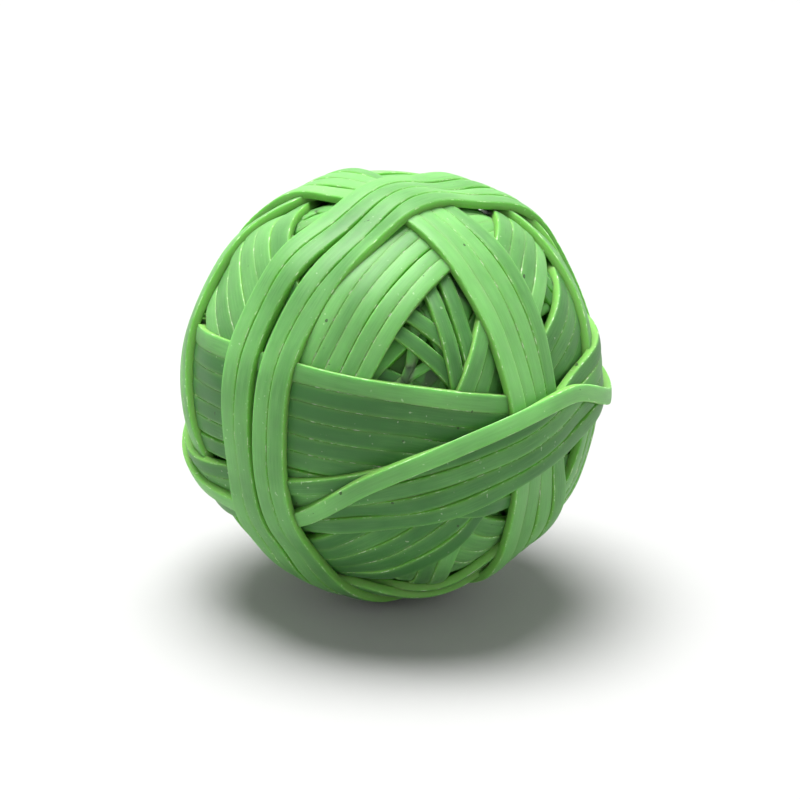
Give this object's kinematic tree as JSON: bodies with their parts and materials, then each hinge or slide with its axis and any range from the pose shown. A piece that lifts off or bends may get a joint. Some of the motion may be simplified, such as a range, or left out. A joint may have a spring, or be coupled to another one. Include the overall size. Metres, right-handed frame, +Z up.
{
  "type": "rubber band ball",
  "caption": "Ball of green rubber bands stretched in crossing bundles over a wound core, kept on a desk as a store of bands.",
  "frame": {"origin": "middle of the ball's box", "axes": "+Z up, the front with the broad slanting bundle faces -Y"},
  "size_m": [0.0514, 0.0546, 0.052],
  "materials": {
    "band": "satin",
    "winding": "satin"
  },
  "bodies": {
    "root": {"inner_winding": "winding", "deep_cross_1": "band", "deep_cross_2": "band", "deep_upright_1": "band", "deep_upright_2": "band", "left_fall_1": "band", "left_fall_2": "band", "left_fall_3": "band", "left_fall_4": "band", "left_fall_5": "band", "left_fall_6": "band", "mid_slant_1": "band", "mid_slant_2": "band", "mid_slant_3": "band", "mid_slant_4": "band", "mid_slant_5": "band", "right_fall_1": "band", "right_fall_2": "band", "right_fall_3": "band", "right_fall_4": "band", "low_slant_1": "band", "low_slant_2": "band", "low_slant_3": "band", "low_slant_4": "band", "low_slant_5": "band", "belt_1": "band", "belt_2": "band", "belt_3": "band", "belt_4": "band", "belt_5": "band", "belt_6": "band", "belt_7": "band", "right_rim_1": "band", "right_rim_2": "band", "rim_hoop_1": "band", "rim_hoop_2": "band", "crest_1": "band", "crest_2": "band", "crest_3": "band", "crest_4": "band", "sash_1": "band", "sash_2": "band", "sash_3": "band", "sash_4": "band", "sash_top_1": "band", "arch_left_1": "band", "arch_left_2": "band", "arch_right_1": "band", "arch_right_2": "band"}
  },
  "joints": []
}
